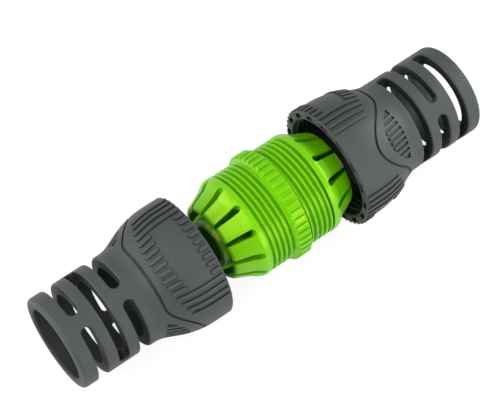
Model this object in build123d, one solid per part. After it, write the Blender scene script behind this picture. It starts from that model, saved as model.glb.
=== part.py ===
"""Hose mender: a slotted, threaded centre body and two screw nuts with bend sleeves.

Sizes are in millimetres. The axis of the mender is X, its middle is the origin, and up is Z.
"""

from build123d import *
import os
from math import asin, cos, degrees, pi, radians, sin

# Waterway and the two hose spigots
waterway_radius = 6.7
spigot_radius = 9.0
spigot_rim_wall = 1.7
spigot_lead_length = 1.6
spigot_overhang = 0.5
web_thickness = 8.0

# Collar in the middle, with flat teeth to hold it by
collar_radius = 20.0
collar_width = 5.0
collar_chamfer = 0.4
collar_foot_length = 1.3
collar_teeth = 44
tooth_depth = 0.7
tooth_share = 0.5

# Male thread on each side of the collar, right-handed, between the collar and a plain band
thread_crest_radius = 18.45
thread_depth = 1.2
thread_pitch = 2.0
thread_length = 9.2
thread_foot_width = 1.5
thread_crest_width = 0.5
thread_start_in_collar = 1.05
band_rise = 0.05
band_margin = 0.3

# Ring of clamping fingers on each side
finger_count = 12
finger_length = 9.5
finger_shoulder_length = 3.3
finger_shoulder_drop = 2.0
finger_shoulder_bulge = 0.2
finger_tip_drop = 2.5
finger_tip_round = 0.6
finger_tip_wall = 1.8
hose_pocket_wall = 2.25
finger_slot_root_width = 2.5
finger_slot_tip_width = 1.4
finger_slot_land = 0.1
finger_phase = 10.0

# Nut cover: grip, shoulder and bend sleeve in one moulding
nut_length = 54.2
grip_wall = 2.45
mouth_chamfer = 0.4
grip_length = 6.0
shoulder_length = 20.8
hose_passage_radius = 12.9
passage_flare_length = 4.5
passage_flare_rise = 0.4
sleeve_wall = 3.85
sleeve_end_round = 1.2
sleeve_bore_chamfer = 0.5

# Slots that let the sleeve bend, in three rows
slot_rows = 3
slot_width = 3.75
slot_ring_width = 4.2
end_ring_width = 5.5
slot_bridge_width = 5.2
slot_edge_round = 0.7

# Ribs on the two grip panels
rib_pitch_angle = 7.0
rib_width = 1.25
rib_height = 0.5
rib_front = 0.3
short_ribs_each_side = 4
long_ribs_each_side = 4
front_rib_length = 3.7
rear_rib_length = 5.0
rib_field_length = 19.0
rib_field_curve = 4.6

# Fine line that runs round the nut between the panels and the sleeve
line_width = 0.8
line_depth = 0.5
line_steps = 12
line_panel_distance = 21.6
line_saddle_distance = 10.8
line_dip_angle = 52.0

# Ribbed thumb pads in the two saddles between the panels
pad_front = 15.8
pad_rear = 23.6
pad_corner = 22.4
pad_half_width = 9.2
pad_depth = 0.5
pad_ribs = 8
pad_rib_pitch = 1.95
pad_rib_width = 0.95

# Pockets in the front face of the cover, between the liner and the skin
pocket_count = 16
pocket_width = 3.4
pocket_depth = 2.5
mouth_skin = 0.8

# Threaded liner inside the cover
liner_wall = 0.85
liner_straight_length = 13.7
liner_length = 24.2
liner_tail_wall = 2.25
liner_fit = 0.05
liner_lead = 0.5
thread_clearance = 0.15
cone_clearance = 0.45

# Screwing home, and where the two loosened nuts stand
home_gap = 0.9
left_turns_off = 14.05
right_turns_off = 10.3
left_nut_phase = 18.0
right_nut_phase = -52.0

# Stations along the axis that follow from the sizes above
collar_half = collar_width / 2
collar_foot = collar_half + collar_foot_length
thread_start = collar_half - thread_start_in_collar
band_start = collar_foot + thread_length
thread_end = band_start + thread_foot_width / 2
band_end = band_start + thread_foot_width + band_margin
shoulder_end = band_end + finger_shoulder_length
finger_end = band_end + finger_length
spigot_end = finger_end + spigot_overhang

thread_root_radius = thread_crest_radius - thread_depth
band_radius = thread_crest_radius + band_rise
shoulder_radius = band_radius - finger_shoulder_drop
finger_tip_radius = shoulder_radius - finger_tip_drop
hose_pocket_radius = thread_root_radius - hose_pocket_wall

home_station = collar_half + home_gap
left_mouth = home_station + left_turns_off * thread_pitch
right_mouth = home_station + right_turns_off * thread_pitch

throat_start = band_end - home_station + cone_clearance
throat_end = shoulder_end - home_station
throat_radius = shoulder_radius + cone_clearance
cone_slope = finger_tip_drop / (finger_end - shoulder_end)
cone_end_radius = throat_radius - cone_slope * (liner_length - throat_end)

nut_bore_radius = band_radius + thread_clearance
liner_radius = nut_bore_radius + liner_wall
liner_tail_radius = cone_end_radius + liner_tail_wall
seat_radius = liner_radius + liner_fit
seat_tail_radius = liner_tail_radius + liner_fit
seat_depth = liner_length + liner_fit
mouth_radius = seat_radius + grip_wall
sleeve_radius = hose_passage_radius + sleeve_wall
grip_end = grip_length
shoulder_foot = grip_end + shoulder_length

overcut = 1.0


def turned(outline):
    """The solid that a closed outline in the XY plane sweeps in a full turn about X."""
    return revolve(make_face(outline), axis=Axis.X)


def outward(shape, angle):
    """A shape made about +Z, turned about X so that it faces the given angle."""
    return Rot(X=angle) * shape


def centre_half_blank():
    """One side of the centre body before the slots and the thread are made."""
    rim_radius = waterway_radius + spigot_rim_wall
    shoulder_middle = Vector(
        band_end + finger_shoulder_length / 2,
        band_radius - finger_shoulder_drop / 2 + finger_shoulder_bulge,
    )
    inner_tip_radius = finger_tip_radius - finger_tip_wall
    with BuildLine() as outline:
        start = Polyline(
            (0, waterway_radius),
            (spigot_end, waterway_radius),
            (spigot_end, rim_radius),
            (spigot_end - spigot_lead_length, spigot_radius),
            (web_thickness / 2, spigot_radius),
            (web_thickness / 2, hose_pocket_radius),
            (band_end, hose_pocket_radius),
            (finger_end, inner_tip_radius),
            (finger_end, finger_tip_radius - finger_tip_round),
            (finger_end - finger_tip_round, finger_tip_radius),
            (shoulder_end, shoulder_radius),
        )
        ThreePointArc(
            (shoulder_end, shoulder_radius),
            shoulder_middle,
            (band_end, band_radius),
        )
        Polyline(
            (band_end, band_radius),
            (band_start, band_radius),
            (band_start, thread_root_radius),
            (collar_foot, thread_root_radius),
            (collar_half, collar_radius - collar_chamfer),
            (collar_half - collar_chamfer, collar_radius),
            (0, collar_radius),
            start @ 0,
        )
    return turned(outline.line)


def finger_slots(phase):
    """The wedge-shaped gaps between the fingers on the +X side."""
    root_radius = finger_slot_root_width / 2
    root_centre = band_end + finger_slot_land + root_radius
    beyond = finger_end + overcut
    gap = Polygon(
        (root_centre, -root_radius),
        (beyond, -finger_slot_tip_width / 2),
        (beyond, finger_slot_tip_width / 2),
        (root_centre, root_radius),
        align=None,
    )
    gap += Pos(root_centre, 0) * Circle(root_radius)
    inner = (spigot_radius + finger_tip_radius - finger_tip_wall) / 2
    cutter = extrude(Pos(0, 0, inner) * gap, thread_crest_radius + overcut - inner)
    step = 360 / finger_count
    return [outward(cutter, phase + step * n) for n in range(finger_count)]


def thread_ridge():
    """The helical ridge on the +X side. It grows out of the collar and runs out into the band."""
    path = Edge.make_helix(
        thread_pitch,
        thread_end - thread_start,
        thread_root_radius,
        center=(thread_start, 0, 0),
        normal=(1, 0, 0),
    )
    sunk = thread_depth / 4
    section = Plane(origin=path @ 0, x_dir=(1, 0, 0), z_dir=path % 0) * Polygon(
        (-thread_foot_width / 2, -sunk),
        (thread_foot_width / 2, -sunk),
        (thread_crest_width / 2, thread_depth),
        (-thread_crest_width / 2, thread_depth),
        align=None,
    )
    return sweep(section, path=path, is_frenet=True)


def collar_gaps():
    """The grooves between the teeth of the collar."""
    step = 360 / collar_teeth
    gap_width = 2 * pi * collar_radius / collar_teeth * (1 - tooth_share)
    gap = Pos(0, 0, collar_radius) * Box(collar_width + overcut, gap_width, 2 * tooth_depth)
    return [outward(gap, step * n) for n in range(collar_teeth)]


def centre_body():
    """The one-piece moulding with the waterway, the threads and the fingers."""
    half = centre_half_blank() + thread_ridge()
    right = half - finger_slots(finger_phase)
    left = Rot(Z=180) * (half - finger_slots(-finger_phase))
    return right + left - collar_gaps()


def nut_outline(offset, from_station, to_station):
    """The outer line of the grip and shoulder, moved out by an offset and cut to two stations."""
    drop = mouth_radius - sleeve_radius
    top = mouth_radius + offset
    with BuildLine() as line:
        Line((from_station, top), (grip_end, top))
        Bezier(
            (grip_end, top),
            (grip_end + 0.37 * shoulder_length, top),
            (grip_end + 0.63 * shoulder_length, top - 0.42 * drop),
            (grip_end + 0.78 * shoulder_length, top - drop),
            (shoulder_foot, top - drop),
        )
        if to_station > shoulder_foot:
            Line((shoulder_foot, top - drop), (to_station, top - drop))
    return line.line


def nut_layer(bottom_offset, top_offset, from_station, to_station):
    """The ring between two offsets of the outer line, from the mouth to past the shoulder."""
    top = nut_outline(top_offset, from_station, to_station)
    bottom = nut_outline(bottom_offset, from_station, to_station)
    with BuildLine() as outline:
        add(top)
        add(bottom)
        Line(top @ 0, bottom @ 0)
        Line(top @ 1, bottom @ 1)
    return turned(outline.line)


def cover_blank():
    """The cover as turned: outer form, seat for the liner and sleeve bore."""
    outer = nut_outline(0, mouth_chamfer, nut_length - sleeve_end_round)
    with BuildLine() as outline:
        add(outer)
        RadiusArc(
            outer @ 1,
            (nut_length, sleeve_radius - sleeve_end_round),
            sleeve_end_round,
        )
        Polyline(
            (nut_length, sleeve_radius - sleeve_end_round),
            (nut_length, hose_passage_radius + sleeve_bore_chamfer),
            (nut_length - sleeve_bore_chamfer, hose_passage_radius),
            (seat_depth + passage_flare_length, hose_passage_radius),
            (seat_depth, hose_passage_radius + passage_flare_rise),
            (seat_depth, seat_tail_radius),
            (liner_straight_length, seat_radius),
            (0, seat_radius),
            (0, mouth_radius - mouth_chamfer),
            outer @ 0,
        )
    return turned(outline.line)


def slot_half_section():
    """Half of a slot's section, from its middle line to its rounded outer edge, radius along Y."""
    half = slot_width / 2
    low = hose_passage_radius - overcut
    high = sleeve_radius + overcut
    rim = half + slot_edge_round
    with BuildLine() as outline:
        Polyline((0, low), (half, low), (half, sleeve_radius - slot_edge_round))
        RadiusArc((half, sleeve_radius - slot_edge_round), (rim, sleeve_radius), slot_edge_round)
        Polyline((rim, sleeve_radius), (rim, high), (0, high), (0, low))
    return make_face(outline.line)


def sleeve_slots():
    """Two long slots in each row. The bridges of one row stand a quarter turn from the next."""
    bridge_angle = degrees(slot_bridge_width / sleeve_radius)
    end_radius = slot_width / 2
    end_angle = degrees(asin(end_radius / sleeve_radius))
    span = 180 - bridge_angle - 2 * end_angle
    half_section = slot_half_section()
    section = half_section + mirror(half_section, about=Plane.YZ)
    long_part = Rot(X=90 - span / 2) * revolve(section, axis=Axis.X, revolution_arc=span)
    round_end = Rot(X=90) * revolve(half_section, axis=Axis.Y)
    last = nut_length - end_ring_width - slot_width / 2
    cutters = []
    for row in range(slot_rows):
        station = last - row * (slot_width + slot_ring_width)
        arc = Pos(station, 0, 0) * long_part
        end = Pos(station, 0, 0) * round_end
        middle = 90 if row % 2 == 0 else 0
        for side in (0, 180):
            cutters.append(outward(arc, middle + side))
            cutters.append(outward(end, middle + side - span / 2))
            cutters.append(outward(end, middle + side + span / 2))
    return cutters


def rib_rear(angle):
    """How far back the rib field reaches at an angle from the middle of the panel."""
    widest = rib_pitch_angle * (short_ribs_each_side + long_ribs_each_side)
    return rib_front + rib_field_length - rib_field_curve * (angle / widest) ** 2


def rib_plan(front, rear, angle):
    """A round-ended bar that stands over one rib's place."""
    base = hose_passage_radius
    bar = SlotOverall(rear - front, rib_width)
    bar = Pos((front + rear) / 2, 0, base) * bar
    return outward(extrude(bar, mouth_radius + overcut - base), angle)


def panel_ribs():
    """The ribs of both grip panels: long ones at the sides, two short rows between."""
    layer = nut_layer(-rib_height, rib_height, 0, shoulder_foot + overcut)
    plans = []
    reach = short_ribs_each_side + long_ribs_each_side
    for n in range(-reach, reach + 1):
        angle = n * rib_pitch_angle
        rear = rib_rear(angle)
        if abs(n) > short_ribs_each_side:
            plans.append(rib_plan(rib_front, rear, angle))
        else:
            plans.append(rib_plan(rib_front, rib_front + front_rib_length, angle))
            plans.append(rib_plan(rear - rear_rib_length, rear, angle))
    panel = layer & Compound(plans)
    return [outward(panel, angle) for angle in (0, 180)]


def outer_radius_at(station):
    """The outer radius of the cover at a station on its grip or shoulder."""
    ray = Line((station, 0), (station, mouth_radius + overcut))
    return outer_line.intersect(ray)[0].Y


def line_way():
    """The fine line of one saddle as it is seen from outside, from panel middle to panel middle."""
    points = []
    rise = line_panel_distance - line_saddle_distance
    for n in range(-line_steps, line_steps + 1):
        share = n / line_steps
        station = line_saddle_distance + rise * (1 - cos(pi * share)) / 2
        across = outer_radius_at(station) * sin(radians(line_dip_angle * share))
        points.append((station, across))
    side = points[-1][1]
    beyond = [side + (mouth_radius + overcut - side) * n / line_steps for n in range(2, line_steps + 1)]
    before = [(line_panel_distance, -across) for across in reversed(beyond)]
    after = [(line_panel_distance, across) for across in beyond]
    return Spline(*(before + points + after))


def fine_line():
    """The groove along the fine line, as one cutter for each saddle."""
    way = line_way()
    count = 6 * line_steps
    edges = []
    for side in (-line_width / 2, line_width / 2):
        points = []
        for n in range(count + 1):
            along = way % (n / count)
            points.append(way @ (n / count) + Vector(along.Y, -along.X) * side)
        edges.append(Spline(*points))
    with BuildLine() as outline:
        add(edges)
        Line(edges[0] @ 0, edges[1] @ 0)
        Line(edges[0] @ 1, edges[1] @ 1)
    layer = nut_layer(-line_depth, overcut, mouth_chamfer, shoulder_foot + overcut)
    groove = layer & extrude(make_face(outline.line), mouth_radius + overcut)
    return [outward(groove, angle) for angle in (90, 270)]


def thumb_pads():
    """The lens-shaped recesses in the saddles, with ribs left standing in them."""
    with BuildSketch() as lens:
        with BuildLine():
            ThreePointArc((pad_corner, -pad_half_width), (pad_front, 0), (pad_corner, pad_half_width))
            ThreePointArc((pad_corner, pad_half_width), (pad_rear, 0), (pad_corner, -pad_half_width))
        make_face()
        with Locations([(pad_rear, (n - (pad_ribs - 1) / 2) * pad_rib_pitch) for n in range(pad_ribs)]):
            Rectangle(
                2 * (pad_rear - pad_front) - 2 * pad_rib_width,
                pad_rib_width,
                mode=Mode.SUBTRACT,
            )
    base = hose_passage_radius
    cutter = extrude(Pos(0, 0, base) * lens.sketch, mouth_radius + overcut - base)
    layer = nut_layer(-pad_depth, overcut, mouth_chamfer, shoulder_foot + overcut)
    recess = layer & cutter
    return [outward(recess, angle) for angle in (90, 270)]


def mouth_pockets():
    """The pockets round the liner in the front face."""
    outer = mouth_radius - mouth_skin
    height = outer - seat_radius + overcut
    pocket = Box(2 * pocket_depth, pocket_width, height)
    pocket = Pos(0, 0, outer - height / 2) * pocket
    step = 360 / pocket_count
    return [outward(pocket, 90 + step * n) for n in range(pocket_count)]


def nut_cover():
    """The grey moulding, its mouth at the origin and its sleeve along +X."""
    cover = cover_blank() + panel_ribs()
    return cover - (mouth_pockets() + thumb_pads() + fine_line() + sleeve_slots())


def nut_liner():
    """The hard ring that carries the nut's thread and the cone that closes the fingers."""
    with BuildLine() as outline:
        Polyline(
            (0, liner_radius),
            (liner_straight_length, liner_radius),
            (liner_length, liner_tail_radius),
            (liner_length, cone_end_radius),
            (throat_end, throat_radius),
            (throat_start, nut_bore_radius),
            (liner_lead, nut_bore_radius),
            (0, nut_bore_radius + liner_lead),
            close=True,
        )
    return turned(outline.line)


outer_line = nut_outline(0, 0, nut_length)
cover = nut_cover()
liner = nut_liner()
to_left = Rot(X=left_nut_phase) * Pos(-left_mouth, 0, 0) * Rot(Z=180)
to_right = Rot(X=right_nut_phase) * Pos(right_mouth, 0, 0)

nodes = {
    "centre_body": centre_body(),
    "left_nut_liner": to_left * liner,
    "left_nut_cover": to_left * cover,
    "right_nut_liner": to_right * liner,
    "right_nut_cover": to_right * cover,
}

os.makedirs("parts", exist_ok=True)
for name, solid in nodes.items():
    export_step(solid, f"parts/{name}.step")
    print(name, round(solid.volume, 2))
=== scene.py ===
"""The looks of a hose mender: a green threaded body between two grey screw nuts.

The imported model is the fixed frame. Lengths in the classes are in millimetres, and the meshes
are in metres, in the frame's own axes: X along the waterway, Z up.
"""

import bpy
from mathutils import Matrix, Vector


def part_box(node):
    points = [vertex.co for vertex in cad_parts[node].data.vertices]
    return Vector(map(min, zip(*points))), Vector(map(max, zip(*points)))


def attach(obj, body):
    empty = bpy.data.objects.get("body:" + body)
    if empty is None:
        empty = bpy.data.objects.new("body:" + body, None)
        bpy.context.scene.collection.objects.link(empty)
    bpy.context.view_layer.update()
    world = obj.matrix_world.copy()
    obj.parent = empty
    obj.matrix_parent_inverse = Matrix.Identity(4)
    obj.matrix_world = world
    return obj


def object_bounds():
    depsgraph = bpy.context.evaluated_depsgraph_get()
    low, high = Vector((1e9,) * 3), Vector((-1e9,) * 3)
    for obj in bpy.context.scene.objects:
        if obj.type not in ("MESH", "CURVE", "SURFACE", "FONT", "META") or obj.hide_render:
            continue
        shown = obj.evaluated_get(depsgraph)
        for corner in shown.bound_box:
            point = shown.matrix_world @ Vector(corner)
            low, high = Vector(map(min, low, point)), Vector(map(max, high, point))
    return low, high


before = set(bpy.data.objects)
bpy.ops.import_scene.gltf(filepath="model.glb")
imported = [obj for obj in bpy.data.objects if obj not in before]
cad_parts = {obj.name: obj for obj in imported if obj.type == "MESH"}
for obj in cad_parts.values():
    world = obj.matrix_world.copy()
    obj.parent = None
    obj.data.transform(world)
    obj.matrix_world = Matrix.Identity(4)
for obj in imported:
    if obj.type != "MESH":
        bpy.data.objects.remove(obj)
cad_box = [list(corner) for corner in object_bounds()]

import logging
import math
from dataclasses import dataclass
from enum import Enum
from typing import Any

import bmesh
import bpy
from mathutils import Matrix, Vector

MM = 0.001

# How an sRGB hex value is written, and the curve that turns it into linear light.
HEX_BASE = 16
HEX_DIGITS = 2
HEX_TOP = 255
SRGB_KNEE = 0.04045
SRGB_SLOPE = 12.92
SRGB_OFFSET = 0.055
SRGB_POWER = 2.4

# The sockets that carry colours on a Mix node, where several sockets share one name.
MIX_FIRST = 6
MIX_SECOND = 7
MIX_RESULT = 2

# Keeps the part of a place that lies across the waterway.
ACROSS_WATERWAY = (0.0, 1.0, 1.0)

log = logging.getLogger("hose_mender")


class Tone(Enum):
    """The colours of the mender and of the studio, as sRGB hex values."""

    ACETAL_GREEN = "#74CC02"
    ACETAL_DEEP = "#64BE00"
    # Painted shade of the green, laid into its grooves and slots and near the axis.
    ACETAL_PAINTED_SHADE = "#067A0A"
    NYLON_GREY = "#3C4241"
    NYLON_PALE = "#434948"
    # Painted shade of the grey nylon, laid into its hollows and bores.
    NYLON_PAINTED_SHADE = "#15181A"
    # A darker copy of the nylon's grey and flow tone: painted shade for the thread deep in the
    # bore.
    BORE_SHADED_GREY = "#1D2120"
    BORE_SHADED_FLOW = "#242827"
    PALE_YELLOW = "#F0F45C"
    PAPER = "#F3F3F1"
    WHITE = "#FFFFFF"


class Side(Enum):
    """The end of the mender that a nut screws onto, with its direction along X."""

    LEFT = -1
    RIGHT = 1


def linear(tone: Tone) -> tuple[float, float, float, float]:
    """Turns a named sRGB tone into the linear colour that shaders take.

    Args:
        tone: the named colour.

    Returns:
        Red, green, blue and alpha.
    """
    digits = tone.value.lstrip("#")
    starts = range(0, len(digits), HEX_DIGITS)
    channels = [int(digits[i:i + HEX_DIGITS], HEX_BASE) / HEX_TOP for i in starts]
    red, green, blue = (
        c / SRGB_SLOPE if c <= SRGB_KNEE
        else ((c + SRGB_OFFSET) / (1 + SRGB_OFFSET)) ** SRGB_POWER
        for c in channels
    )
    return red, green, blue, 1.0


def add_node(
    tree: bpy.types.NodeTree,
    kind: str,
    settings: dict[str, Any] | None = None,
    inputs: dict[str | int, Any] | None = None,
) -> bpy.types.Node:
    """Adds one node with its settings, values and links.

    Args:
        tree: the node tree that gets it.
        kind: the node's type name.
        settings: attributes of the node.
        inputs: for each input socket, a value, or the output socket that feeds it.

    Returns:
        The new node.
    """
    node = tree.nodes.new(kind)
    for name, value in (settings or {}).items():
        setattr(node, name, value)
    for name, value in (inputs or {}).items():
        socket = node.inputs[name]
        if isinstance(value, bpy.types.NodeSocket):
            tree.links.new(value, socket)
        else:
            socket.default_value = value
    return node


def distance_from_axis(
    tree: bpy.types.NodeTree, place: bpy.types.NodeSocket
) -> bpy.types.NodeSocket:
    """Measures how far a point of the surface lies from the waterway's axis.

    Args:
        tree: the node tree.
        place: the socket of the Object coordinates.

    Returns:
        The socket of the distance, in metres.
    """
    across = add_node(tree, "ShaderNodeVectorMath", {"operation": "MULTIPLY"}, {
        0: place, 1: ACROSS_WATERWAY,
    }).outputs["Vector"]
    return add_node(tree, "ShaderNodeVectorMath", {"operation": "LENGTH"}, {
        0: across,
    }).outputs["Value"]


def fresh_material(name: str) -> bpy.types.Material:
    """Makes a material with an empty node tree.

    Args:
        name: the material's name.

    Returns:
        The material.
    """
    material = bpy.data.materials.new(name)
    material.use_nodes = True
    material.node_tree.nodes.clear()
    return material


@dataclass(frozen=True)
class MouldedPlastic:
    """An injection-moulded plastic: a body colour, a faint flow of tone and a moulded grain.

    The grain is the texture that the mould leaves on the surface. The real one is about a
    tenth of a millimetre, too fine to show, so it is drawn three to five times as coarse. The
    edges catch the light on the small radius that every moulding has. Shade is painted into
    the colour: darker where the piece's own walls close round a point, in grooves, slots and
    bores, and darker near the axis where a piece has a bore.
    """

    name: str
    colour: Tone
    flow_colour: Tone
    roughness: float
    roughness_swing: float
    ior: float
    grain_mm: float
    grain_depth_mm: float
    edge_radius_mm: float
    # The next fields set painted shade: its colour, the reach and thresholds of the shade
    # painted into hollows, and the radii and share of the shade painted near the axis.
    painted_shade_colour: Tone
    painted_shade_reach_mm: float
    painted_shade_full_at: float = 0.3
    painted_shade_none_at: float = 0.9
    painted_shade_samples: int = 8
    axis_shade_deepest_mm: float = 1.0
    axis_shade_ends_mm: float = 2.0
    axis_shade_share: float = 0.15
    edge_samples: int = 6
    flow_mm: float = 24.0
    flow_detail: float = 3.0
    grain_detail: float = 2.0
    subsurface: float = 0.0
    subsurface_mm: float = 1.0
    gloss: float = 0.5
    gloss_tint: Tone = Tone.WHITE

    def painted_shade_mask(
        self, tree: bpy.types.NodeTree, place: bpy.types.NodeSocket
    ) -> bpy.types.NodeSocket:
        """Finds how open the piece is round each point of its surface.

        Args:
            tree: the material's node tree.
            place: the socket of the Object coordinates.

        Returns:
            The socket of the painted-shade mask: 0 deep in a hollow, 1 on an open face.
        """
        # Painted shade in hollows, from the ambient occlusion of the piece's own walls.
        seen = add_node(tree, "ShaderNodeAmbientOcclusion", {
            "only_local": True, "samples": self.painted_shade_samples,
        }, {"Distance": self.painted_shade_reach_mm * MM}).outputs["AO"]
        clear = add_node(tree, "ShaderNodeMapRange", {"interpolation_type": "SMOOTHSTEP"}, {
            "Value": seen,
            "From Min": self.painted_shade_full_at,
            "From Max": self.painted_shade_none_at,
        }).outputs["Result"]
        # Painted shade near the axis, from the distance to the waterway's axis.
        outside = add_node(tree, "ShaderNodeMapRange", inputs={
            "Value": distance_from_axis(tree, place),
            "From Min": self.axis_shade_deepest_mm * MM,
            "From Max": self.axis_shade_ends_mm * MM,
            "To Min": self.axis_shade_share,
        }).outputs["Result"]
        return add_node(tree, "ShaderNodeMath", {"operation": "MULTIPLY"}, {
            0: clear, 1: outside,
        }).outputs["Value"]

    def relief(
        self, tree: bpy.types.NodeTree, place: bpy.types.NodeSocket
    ) -> bpy.types.NodeSocket:
        """Rounds the edges and lays the moulded grain on the surface.

        Args:
            tree: the material's node tree.
            place: the socket of the Object coordinates.

        Returns:
            The socket of the surface's normal.
        """
        edge = add_node(tree, "ShaderNodeBevel", {"samples": self.edge_samples}, {
            "Radius": self.edge_radius_mm * MM,
        }).outputs["Normal"]
        grain = add_node(tree, "ShaderNodeTexNoise", inputs={
            "Vector": place, "Scale": 1 / (self.grain_mm * MM), "Detail": self.grain_detail,
        }).outputs["Fac"]
        return add_node(tree, "ShaderNodeBump", inputs={
            "Strength": 1.0,
            "Distance": self.grain_depth_mm * MM,
            "Height": grain,
            "Normal": edge,
        }).outputs["Normal"]

    def material(self) -> bpy.types.Material:
        """Builds the material.

        Returns:
            The finished node material.
        """
        made = fresh_material(self.name)
        tree = made.node_tree
        place = add_node(tree, "ShaderNodeTexCoord").outputs["Object"]
        flow = add_node(tree, "ShaderNodeTexNoise", inputs={
            "Vector": place, "Scale": 1 / (self.flow_mm * MM), "Detail": self.flow_detail,
        }).outputs["Fac"]
        body = add_node(tree, "ShaderNodeMix", {"data_type": "RGBA"}, {
            "Factor": flow,
            MIX_FIRST: linear(self.colour),
            MIX_SECOND: linear(self.flow_colour),
        }).outputs[MIX_RESULT]
        # Painted shade: the body colour turns to the shade colour where the mask is low.
        shaded = add_node(tree, "ShaderNodeMix", {"data_type": "RGBA"}, {
            "Factor": self.painted_shade_mask(tree, place),
            MIX_FIRST: linear(self.painted_shade_colour),
            MIX_SECOND: body,
        }).outputs[MIX_RESULT]
        sheen = add_node(tree, "ShaderNodeMapRange", inputs={
            "Value": flow,
            "To Min": self.roughness - self.roughness_swing,
            "To Max": self.roughness + self.roughness_swing,
        }).outputs["Result"]
        shader = add_node(tree, "ShaderNodeBsdfPrincipled", inputs={
            "Base Color": shaded,
            "Roughness": sheen,
            "IOR": self.ior,
            "Normal": self.relief(tree, place),
            "Subsurface Weight": self.subsurface,
            "Subsurface Scale": self.subsurface_mm * MM,
            "Specular IOR Level": self.gloss,
            "Specular Tint": linear(self.gloss_tint),
        })
        add_node(tree, "ShaderNodeOutputMaterial", inputs={"Surface": shader.outputs["BSDF"]})
        return made


# Acetal, moulded in a polished tool: a clean green that shines softly and glows a little at thin
# edges. Shade is painted into its thread grooves and finger slots, and near the axis on the
# spigot and the fingers' inner faces.
GREEN_ACETAL = MouldedPlastic(
    name="moulded_green_acetal",
    colour=Tone.ACETAL_GREEN,
    flow_colour=Tone.ACETAL_DEEP,
    roughness=0.3,
    roughness_swing=0.04,
    ior=1.48,
    grain_mm=0.5,
    grain_depth_mm=0.006,
    edge_radius_mm=0.22,
    painted_shade_colour=Tone.ACETAL_PAINTED_SHADE,
    painted_shade_reach_mm=3.0,
    painted_shade_full_at=0.12,
    painted_shade_none_at=0.52,
    axis_shade_deepest_mm=11.6,
    axis_shade_ends_mm=13.2,
    subsurface=0.12,
    subsurface_mm=0.8,
    gloss=1.0,
    gloss_tint=Tone.PALE_YELLOW,
)

# Glass-filled nylon from a spark-eroded mould: slate grey, matte, with a broad dull sheen.
# Shade is painted into its hollows, most of all the sleeve's bore and slot walls.
GREY_NYLON = MouldedPlastic(
    name="textured_grey_nylon",
    colour=Tone.NYLON_GREY,
    flow_colour=Tone.NYLON_PALE,
    roughness=0.52,
    roughness_swing=0.05,
    ior=1.5,
    grain_mm=0.35,
    grain_depth_mm=0.02,
    edge_radius_mm=0.3,
    painted_shade_colour=Tone.NYLON_PAINTED_SHADE,
    painted_shade_reach_mm=24.0,
    painted_shade_full_at=0.6,
    painted_shade_none_at=0.9,
    axis_shade_deepest_mm=13.5,
    axis_shade_ends_mm=16.4,
    gloss=0.35,
)

# Plain nylon of the liners: grey as the cover at the rim, with painted shade nearly black in the
# bore.
LINER_NYLON = MouldedPlastic(
    name="moulded_liner_nylon",
    colour=Tone.NYLON_GREY,
    flow_colour=Tone.NYLON_PALE,
    roughness=0.5,
    roughness_swing=0.05,
    ior=1.5,
    grain_mm=0.5,
    grain_depth_mm=0.008,
    edge_radius_mm=0.15,
    painted_shade_colour=Tone.NYLON_PAINTED_SHADE,
    painted_shade_reach_mm=30.0,
    painted_shade_full_at=0.62,
    painted_shade_none_at=0.97,
    gloss=0.3,
)

# The same nylon on the thread in the bore, made darker as painted shade for the depth of the
# nut.
SHADED_BORE_NYLON = MouldedPlastic(
    name="shaded_bore_nylon",
    colour=Tone.BORE_SHADED_GREY,
    flow_colour=Tone.BORE_SHADED_FLOW,
    roughness=0.5,
    roughness_swing=0.05,
    ior=1.5,
    grain_mm=0.5,
    grain_depth_mm=0.008,
    edge_radius_mm=0.15,
    painted_shade_colour=Tone.NYLON_PAINTED_SHADE,
    painted_shade_reach_mm=3.0,
    gloss=0.3,
)


def in_scene(name: str, data: Any) -> bpy.types.Object:
    """Makes an object and links it to the scene.

    Args:
        name: the object's name.
        data: its mesh, lamp or camera.

    Returns:
        The new object.
    """
    made = bpy.data.objects.new(name, data)
    bpy.context.scene.collection.objects.link(made)
    return made


def finished_mesh(
    name: str, made: bmesh.types.BMesh, look: bpy.types.Material
) -> bpy.types.Object:
    """Turns a bmesh into an object with one material.

    Args:
        name: the object's name.
        made: the finished bmesh, in metres in the frame; it is freed.
        look: the material.

    Returns:
        The new object.
    """
    data = bpy.data.meshes.new(name)
    made.to_mesh(data)
    made.free()
    data.materials.append(look)
    return in_scene(name, data)


def dress_node(node: str, look: bpy.types.Material) -> bpy.types.Object:
    """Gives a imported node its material.

    Args:
        node: the node's name.
        look: the material.

    Returns:
        The node's object.
    """
    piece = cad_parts[node]
    piece.data.materials.clear()
    piece.data.materials.append(look)
    return piece


@dataclass
class CentreBody:
    """The green moulding with the waterway, the spigots, the fingers and both threads."""

    node: str = "centre_body"

    def build(self, plastic: bpy.types.Material) -> list[bpy.types.Object]:
        """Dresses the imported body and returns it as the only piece."""
        return [dress_node(self.node, plastic)]


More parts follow.
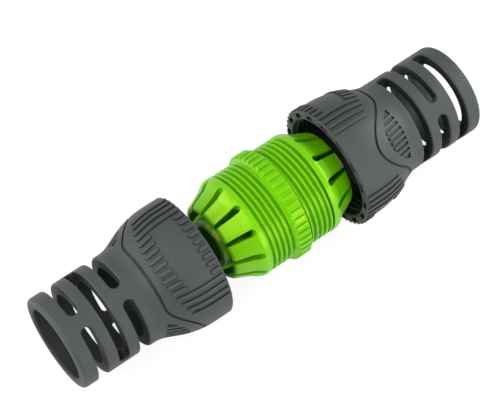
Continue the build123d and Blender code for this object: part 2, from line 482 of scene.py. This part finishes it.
@dataclass
class ScrewNut:
    """One screw nut: the grey cover, the liner in it and the thread on the liner's bore."""

    side: Side
    thread_lead: float = 1.4
    thread_turns: float = 3.6
    thread_pitch: float = 2.0
    body_groove: float = 0.45
    bore_radius: float = 18.65
    crest_radius: float = 17.75
    foot_width: float = 1.4
    crest_width: float = 0.4
    foot_sunk: float = 0.2
    steps_per_turn: int = 96

    def label(self, name: str) -> str:
        """Names a piece or a body of this nut, such as left_cover."""
        return f"{self.side.name.lower()}_{name}"

    def mouth(self) -> float:
        """Finds the cover's open front in the frame.

        Returns:
            Its distance from the middle of the mender, in millimetres.
        """
        low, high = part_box(self.label("nut_cover"))
        front = high if self.side is Side.LEFT else low
        return abs(front[0]) / MM

    def thread_section(self, start: float) -> list[tuple[float, float]]:
        """Draws the ridge's section, with its foot sunk into the liner's wall.

        Args:
            start: where the ridge begins along X, in millimetres.

        Returns:
            The place along X and the radius of each corner, in millimetres.
        """
        foot, crest = self.foot_width / 2, self.crest_width / 2
        return [
            (start - foot, self.bore_radius + self.foot_sunk),
            (start + foot, self.bore_radius + self.foot_sunk),
            (start + foot, self.bore_radius),
            (start + crest, self.crest_radius),
            (start - crest, self.crest_radius),
            (start - foot, self.bore_radius),
        ]

    def thread_mesh(self) -> bmesh.types.BMesh:
        """Sweeps the ridge's section along a right-handed helix, from the mouth inwards.

        The ridge lies where the groove of the body's thread would run on, so that it stays in
        that groove while the nut is screwed home, and it ends short of the body's plain band.

        Returns:
            The bmesh, in metres.
        """
        made = bmesh.new()
        inward = self.side.value
        from_middle = self.mouth() + self.thread_lead
        section = self.thread_section(inward * from_middle)
        corners = [made.verts.new(Vector((x, 0, radius)) * MM) for x, radius in section]
        face = made.faces.new(corners)
        steps = round(self.thread_turns * self.steps_per_turn)
        bmesh.ops.spin(
            made,
            geom=[face, *face.edges, *face.verts],
            cent=(0, 0, 0),
            axis=(1, 0, 0),
            dvec=(inward * self.thread_turns * self.thread_pitch / steps * MM, 0, 0),
            angle=inward * math.tau * self.thread_turns,
            steps=steps,
            use_merge=False,
            use_normal_flip=False,
            use_duplicate=False,
        )
        phase = math.tau * (from_middle - self.body_groove) / self.thread_pitch
        turn = Matrix.Rotation(inward * phase, 3, "X")
        bmesh.ops.rotate(made, verts=made.verts, cent=(0, 0, 0), matrix=turn)
        bmesh.ops.recalc_face_normals(made, faces=made.faces)
        for skin in made.faces:
            skin.smooth = True
        return made

    def build_thread(self, plastic: bpy.types.Material) -> bpy.types.Object:
        """Builds and dresses the thread, which turns with the cover.

        Args:
            plastic: the bore's plastic, a darker copy of the nylon as painted shade.

        Returns:
            The thread.
        """
        piece = finished_mesh(self.label("nut_thread"), self.thread_mesh(), plastic)
        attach(piece, self.label("cover"))
        return piece

    def build(
        self,
        cover_plastic: bpy.types.Material,
        liner_plastic: bpy.types.Material,
        bore_plastic: bpy.types.Material,
    ) -> list[bpy.types.Object]:
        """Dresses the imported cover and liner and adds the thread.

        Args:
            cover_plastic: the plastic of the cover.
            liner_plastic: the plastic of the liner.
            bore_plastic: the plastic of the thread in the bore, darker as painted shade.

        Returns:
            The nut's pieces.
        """
        return [
            dress_node(self.label("nut_cover"), cover_plastic),
            dress_node(self.label("nut_liner"), liner_plastic),
            self.build_thread(bore_plastic),
        ]


@dataclass(frozen=True)
class Softbox:
    """A square softbox that faces the mender, with its power in watts."""

    name: str
    place: tuple[float, float, float]
    size: float
    power: float

    def build(self) -> bpy.types.Object:
        """Hangs the lamp.

        Returns:
            The lamp.
        """
        data = bpy.data.lights.new(self.name, "AREA")
        data.shape = "SQUARE"
        data.size = self.size * MM
        data.energy = self.power
        lamp = in_scene(self.name, data)
        lamp.location = Vector(self.place) * MM
        lamp.rotation_mode = "QUATERNION"
        lamp.rotation_quaternion = (-Vector(self.place)).to_track_quat("-Z", "Y")
        return lamp


@dataclass
class Studio:
    """The pale floor, the soft lamps and the camera of a product picture."""

    floor_gap: float = 0.2
    floor_size: float = 4000.0
    paper_light: float = 0.88
    paper_shade: float = 0.2
    ground_light: float = 0.94
    room_light: float = 0.16
    mirrored_light: float = 0.6
    lens: float = 122.4
    sensor: float = 36.0
    nearest: float = 50.0
    distance: float = 565.5
    aside: float = 6.63
    above: float = 1.2
    azimuth_degrees: float = -37.1
    elevation_degrees: float = 59.2
    softboxes: tuple[Softbox, ...] = (
        Softbox("left_softbox", (-350, -60, 360), size=500, power=2.1),
        Softbox("back_softbox", (-330, 330, 240), size=300, power=1.1),
        Softbox("right_softbox", (420, -110, 260), size=300, power=2.0),
        Softbox("front_softbox", (130, -440, 80), size=300, power=0.9),
    )

    def camera_axes(self) -> tuple[Vector, Vector, Vector]:
        """Works out where the camera's own directions point.

        Returns:
            Its right, up and forward directions.
        """
        turn = math.radians(self.azimuth_degrees)
        rise = math.radians(self.elevation_degrees)
        right = Vector((math.cos(turn), math.sin(turn), 0.0))
        level = Vector((-math.sin(turn), math.cos(turn), 0.0))
        forward = level * math.cos(rise) - Vector((0, 0, 1)) * math.sin(rise)
        return right, right.cross(forward), forward

    def build_camera(self) -> bpy.types.Object:
        """Sets the camera at the photograph's viewing angle.

        Returns:
            The camera.
        """
        right, up, forward = self.camera_axes()
        data = bpy.data.cameras.new("camera")
        data.lens = self.lens
        data.sensor_width = self.sensor
        data.clip_start = self.nearest * MM
        camera = in_scene("camera", data)
        place = (forward * self.distance + right * self.aside + up * self.above) * -MM
        turn = Matrix((right, up, -forward)).transposed()
        camera.matrix_world = Matrix.Translation(place) @ turn.to_4x4()
        bpy.context.scene.camera = camera
        return camera

    def split_by_ray(
        self,
        tree: bpy.types.NodeTree,
        carried: bpy.types.NodeSocket,
        seen: bpy.types.NodeSocket,
    ) -> bpy.types.NodeSocket:
        """Lights the mender with one shader and shows another as the white ground.

        Args:
            tree: the node tree.
            carried: the socket of the shader that lights the mender.
            seen: the socket of the shader that the camera sees.

        Returns:
            The socket of the mixed shader.
        """
        rays = add_node(tree, "ShaderNodeLightPath").outputs
        direct = add_node(tree, "ShaderNodeMath", {"operation": "MAXIMUM"}, {
            0: rays["Is Camera Ray"], 1: rays["Is Transmission Ray"],
        })
        return add_node(tree, "ShaderNodeMixShader", inputs={
            0: direct.outputs["Value"], 1: carried, 2: seen,
        }).outputs["Shader"]

    def paper(self) -> bpy.types.Material:
        """Makes the floor's paper, which the camera sees as white with a soft shadow on it.

        Returns:
            The material.
        """
        made = fresh_material("matte_white_paper")
        tree = made.node_tree
        sheet = add_node(tree, "ShaderNodeBsdfDiffuse", inputs={"Color": linear(Tone.PAPER)})
        shade = self.paper_shade
        thin = add_node(tree, "ShaderNodeBsdfDiffuse", inputs={
            "Color": (shade, shade, shade, 1.0),
        })
        glow = add_node(tree, "ShaderNodeEmission", inputs={
            "Color": linear(Tone.WHITE), "Strength": self.paper_light,
        })
        seen = add_node(tree, "ShaderNodeAddShader", inputs={
            0: thin.outputs["BSDF"], 1: glow.outputs["Emission"],
        })
        mixed = self.split_by_ray(tree, sheet.outputs["BSDF"], seen.outputs["Shader"])
        add_node(tree, "ShaderNodeOutputMaterial", inputs={"Surface": mixed})
        return made

    def build_floor(self) -> bpy.types.Object:
        """Lays a sheet of pale paper just under the mender.

        Returns:
            The floor.
        """
        made = bmesh.new()
        bmesh.ops.create_grid(made, x_segments=1, y_segments=1, size=self.floor_size / 2 * MM)
        lowest = cad_box[0][2]
        bmesh.ops.translate(made, verts=made.verts, vec=(0, 0, lowest - self.floor_gap * MM))
        floor = finished_mesh("floor", made, self.paper())
        return floor

    def build_world(self) -> bpy.types.World:
        """Surrounds the scene with soft grey light, brighter in reflections, on a white ground.

        Returns:
            The world.
        """
        world = bpy.data.worlds.new("studio")
        world.use_nodes = True
        tree = world.node_tree
        tree.nodes.clear()
        rays = add_node(tree, "ShaderNodeLightPath").outputs
        strength = add_node(tree, "ShaderNodeMath", {"operation": "MULTIPLY_ADD"}, {
            0: rays["Is Glossy Ray"], 1: self.mirrored_light, 2: self.room_light,
        })
        room = add_node(tree, "ShaderNodeBackground", inputs={
            "Color": linear(Tone.WHITE), "Strength": strength.outputs["Value"],
        })
        ground = add_node(tree, "ShaderNodeBackground", inputs={
            "Color": linear(Tone.WHITE), "Strength": self.ground_light,
        })
        mixed = self.split_by_ray(tree, room.outputs["Background"], ground.outputs["Background"])
        add_node(tree, "ShaderNodeOutputWorld", inputs={"Surface": mixed})
        bpy.context.scene.world = world
        return world

    def build(self) -> None:
        """Builds the whole studio."""
        bpy.context.scene.view_settings.view_transform = "Standard"
        self.build_camera()
        self.build_floor()
        self.build_world()
        for softbox in self.softboxes:
            softbox.build()
        log.info("studio: floor, camera and %d softboxes", len(self.softboxes))


def main() -> None:
    """Sets up the studio, dresses the mender in its frame and reports each piece."""
    logging.basicConfig(level=logging.INFO, format="%(name)s: %(message)s")
    Studio().build()
    green = GREEN_ACETAL.material()
    grey = GREY_NYLON.material()
    liner = LINER_NYLON.material()
    # The bore's thread gets the darker nylon, painted shade for the depth of the nut.
    bore = SHADED_BORE_NYLON.material()
    pieces = CentreBody().build(green)
    for side in Side:
        pieces += ScrewNut(side).build(grey, liner, bore)
    for piece in pieces:
        look = piece.data.materials[0].name
        log.info("%s: %d faces in %s", piece.name, len(piece.data.polygons), look)


if __name__ == "__main__":
    main()
